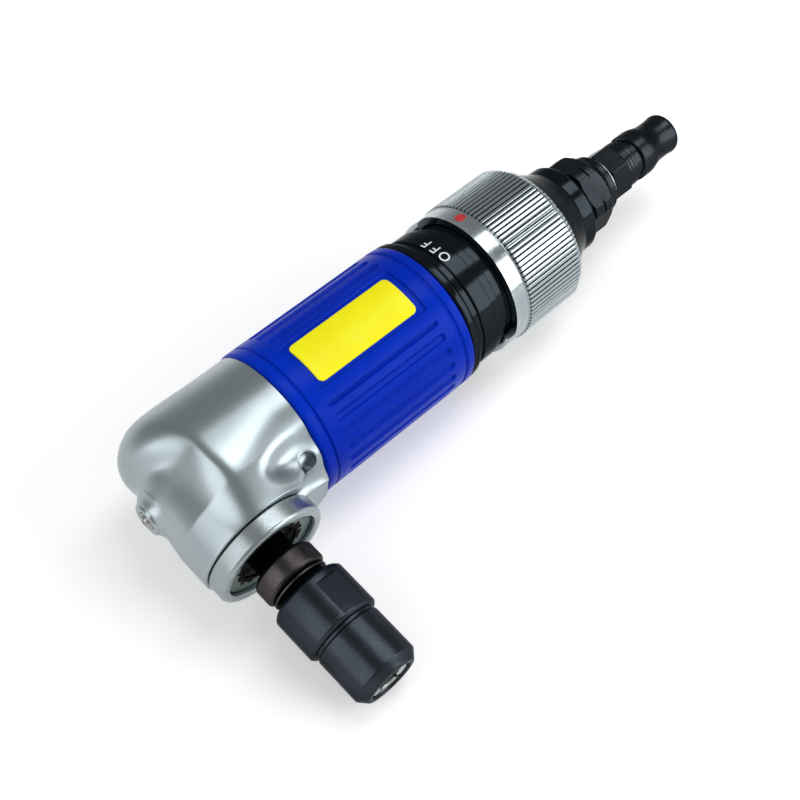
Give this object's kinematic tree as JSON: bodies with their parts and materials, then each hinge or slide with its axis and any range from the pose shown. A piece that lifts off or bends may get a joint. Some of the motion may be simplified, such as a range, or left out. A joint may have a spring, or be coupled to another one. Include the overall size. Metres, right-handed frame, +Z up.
{
  "type": "right angle die grinder",
  "caption": "Air-driven right angle die grinder with a geared angle head, collet spindle, fluted grip sleeve over a vane motor, throttle ring, rear exhaust and hose plug.",
  "frame": {"origin": "centre of the bounding box in plan, at the surface that the tool lies on", "axes": "+X along the barrel from the angle head to the air plug, +Z up; the spindle leaves the head towards -Y and leans down by 10.7 degrees"},
  "size_m": [0.1932, 0.0892, 0.0424],
  "materials": {
    "cast_aluminium": "cast, satin",
    "turned_aluminium": "turned, satin",
    "ground_steel": "ground",
    "browned_steel": "heat treated",
    "blacked_steel": "blacked, satin",
    "black_anodised": "black anodised, satin",
    "black_steel_bushing": "blacked, satin",
    "brass": "turned",
    "blue_plastic": "moulded, satin",
    "yellow_label": "printed foil, left bare",
    "red_paint": "paint",
    "black_rubber": "moulded",
    "vane_fibre": "laminated fibre",
    "grey_felt": "felt"
  },
  "bodies": {
    "housing": {"angle_housing": "cast_aluminium", "grease_fitting": "brass", "grease_spring": "ground_steel", "pinion_bearing": "ground_steel", "pinion_spacer": "ground_steel", "motor_housing": "turned_aluminium", "grip_sleeve": "blue_plastic", "label_plate": "yellow_label", "front_end_plate": "ground_steel", "rear_end_plate": "ground_steel", "rotor_front_bearing": "ground_steel", "rotor_rear_bearing": "ground_steel", "cylinder_liner": "ground_steel", "dowel_pin": "ground_steel", "motor_gasket": "black_rubber", "valve_body": "black_anodised", "detent_spring": "ground_steel", "throttle_oring_front": "black_rubber", "throttle_oring_rear": "black_rubber", "retaining_ring": "ground_steel", "exhaust_cap": "black_anodised", "silencer_ring": "grey_felt", "inlet_bushing": "black_steel_bushing", "inlet_screen": "brass", "plug_washer": "ground_steel", "air_plug": "blacked_steel", "upper_bearing": "ground_steel", "lower_bearing": "ground_steel", "bearing_cap": "turned_aluminium", "dust_shield": "turned_aluminium", "spindle_seal": "black_rubber"},
    "rotor": {"rotor": "ground_steel", "bevel_pinion": "ground_steel"},
    "spindle": {"spindle": "browned_steel", "driven_bevel_gear": "ground_steel", "gear_key": "ground_steel", "spindle_circlip": "ground_steel", "collet": "ground_steel"},
    "nut": {"collet_nut": "blacked_steel"},
    "throttle": {"throttle_ring": "turned_aluminium", "index_dot": "red_paint"},
    "detent": {"detent_ball": "ground_steel"},
    "grease_ball": {"grease_check_ball": "ground_steel"},
    "vane_a": {"vane_1": "vane_fibre"},
    "vane_b": {"vane_2": "vane_fibre"},
    "vane_c": {"vane_3": "vane_fibre"},
    "vane_d": {"vane_4": "vane_fibre"}
  },
  "joints": [
    {"name": "rotor_spin", "type": "hinge", "parent": "housing", "child": "rotor", "pos_m": [-0.03405, 0.02338, 0.0212], "axis": [1, 0, 0], "continuous": true},
    {"name": "spindle_spin", "type": "hinge", "parent": "housing", "child": "spindle", "pos_m": [-0.07905, 0.02338, 0.0212], "axis": [0, -0.9825, -0.1861], "continuous": true},
    {"name": "collet_nut_turn", "type": "hinge", "parent": "spindle", "child": "nut", "pos_m": [-0.07905, -0.02575, 0.01189], "axis": [0, -0.9825, -0.1861], "range_deg": [0, 270]},
    {"name": "throttle_turn", "type": "hinge", "parent": "housing", "child": "throttle", "pos_m": [0.02095, 0.02338, 0.0212], "axis": [1, 0, 0], "range_deg": [0, 75]},
    {"name": "detent_press", "type": "slide", "parent": "housing", "child": "detent", "axis": [0, 0.9825, 0.1861], "range_m": [0, 0.0008], "stiffness_N_per_m": 200},
    {"name": "grease_ball_press", "type": "slide", "parent": "housing", "child": "grease_ball", "axis": [1, 0, 0], "range_m": [0, 0.0005], "stiffness_N_per_m": 100},
    {"name": "vane_a_slide", "type": "slide", "parent": "rotor", "child": "vane_a", "axis": [0, 0.5631, 0.8264], "range_m": [0, 0.0005]},
    {"name": "vane_b_slide", "type": "slide", "parent": "rotor", "child": "vane_b", "axis": [0, -0.8264, 0.5631], "range_m": [0, 0.0005]},
    {"name": "vane_c_slide", "type": "slide", "parent": "rotor", "child": "vane_c", "axis": [0, -0.5631, -0.8264], "range_m": [0, 0.0005]},
    {"name": "vane_d_slide", "type": "slide", "parent": "rotor", "child": "vane_d", "axis": [0, 0.8264, -0.5631], "range_m": [0, 0.0005]}
  ],
  "couplings": [
    {"joint": "spindle_spin", "follows": "rotor_spin", "ratio": -0.66667}
  ]
}
